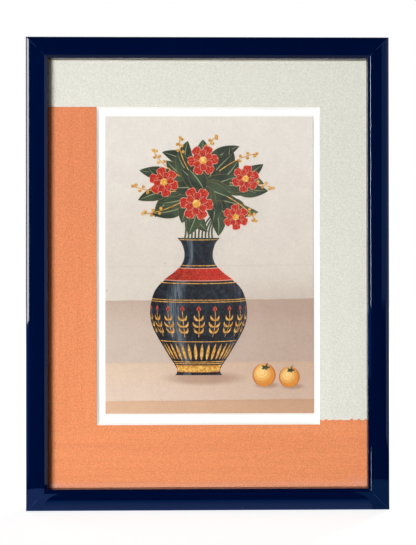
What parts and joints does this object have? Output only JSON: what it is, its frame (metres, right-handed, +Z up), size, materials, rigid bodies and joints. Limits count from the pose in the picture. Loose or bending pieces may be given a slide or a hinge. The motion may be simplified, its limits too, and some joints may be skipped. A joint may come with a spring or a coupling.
{
  "type": "framed picture",
  "caption": "Upright framed picture: mitred rounded moulding, glass, window mat painted in two fields and a floated print, board back with framer's tabs and sawtooth hanger.",
  "frame": {"origin": "middle of the underside, at the centre of the overall box's bottom face", "axes": "+X to the right as the picture is seen, +Y into the wall behind it, +Z up; the picture faces -Y"},
  "size_m": [0.33, 0.0256, 0.43],
  "materials": {
    "navy_lacquer": "gloss navy lacquer on softwood, bare wood at the back",
    "clear_glass": "clear float glass, polished",
    "pale_paint": "pale grey-green paint brushed on the mat's facing paper, matte",
    "orange_paint": "orange paint brushed on the mat's facing paper, matte",
    "white_board": "white conservation board, matte",
    "fibreboard": "medium density fibreboard, sanded",
    "paper": "off-white printing paper, matte",
    "linen_tape": "gummed white linen tape",
    "steel": "bright zinc-plated steel strip",
    "brassed_steel": "brass-plated steel, satin",
    "felt": "dark grey pressed felt",
    "ink_wall": "cream ink wash, matte",
    "ink_dado": "pale grey ink wash, matte",
    "ink_table": "tan ink wash, matte",
    "ink_table_edge": "deeper tan ink wash, matte",
    "ink_navy": "dark navy ink, matte",
    "ink_leaf": "dark green ink, matte",
    "ink_red": "red ink, matte",
    "ink_gold": "golden ink, matte"
  },
  "bodies": {
    "root": {"backing_board": "fibreboard", "frame_rail_bottom": "navy_lacquer", "frame_rail_left": "navy_lacquer", "frame_rail_right": "navy_lacquer", "frame_rail_top": "navy_lacquer", "framers_tab_bottom_1": "steel", "framers_tab_bottom_2": "steel", "framers_tab_left_1": "steel", "framers_tab_left_2": "steel", "framers_tab_left_3": "steel", "framers_tab_right_1": "steel", "framers_tab_right_2": "steel", "framers_tab_right_3": "steel", "framers_tab_top_1": "steel", "framers_tab_top_2": "steel", "glazing": "clear_glass", "hanger_nail_left": "brassed_steel", "hanger_nail_right": "brassed_steel", "hinge_tape_left": "linen_tape", "hinge_tape_right": "linen_tape", "mat_core": "white_board", "mat_facing_orange": "orange_paint", "mat_facing_pale": "pale_paint", "mount_board": "white_board", "print_blossom_1": "ink_red", "print_blossom_2": "ink_red", "print_blossom_3": "ink_red", "print_blossom_4": "ink_red", "print_blossom_5": "ink_red", "print_blossom_centre_1": "ink_gold", "print_blossom_centre_2": "ink_gold", "print_blossom_centre_3": "ink_gold", "print_blossom_centre_4": "ink_gold", "print_blossom_centre_5": "ink_gold", "print_dado": "ink_dado", "print_fruit_1": "ink_gold", "print_fruit_2": "ink_gold", "print_leaves": "ink_leaf", "print_sheet": "paper", "print_table": "ink_table", "print_table_edge": "ink_table_edge", "print_vase": "ink_navy", "print_vase_collar": "ink_red", "print_vase_foot": "ink_gold", "print_wall": "ink_wall", "sawtooth_hanger": "brassed_steel", "v_nail_bottom_left_inner": "steel", "v_nail_bottom_left_outer": "steel", "v_nail_bottom_right_inner": "steel", "v_nail_bottom_right_outer": "steel", "v_nail_top_left_inner": "steel", "v_nail_top_left_outer": "steel", "v_nail_top_right_inner": "steel", "v_nail_top_right_outer": "steel", "wall_bumper_left": "felt", "wall_bumper_right": "felt"}
  },
  "joints": []
}
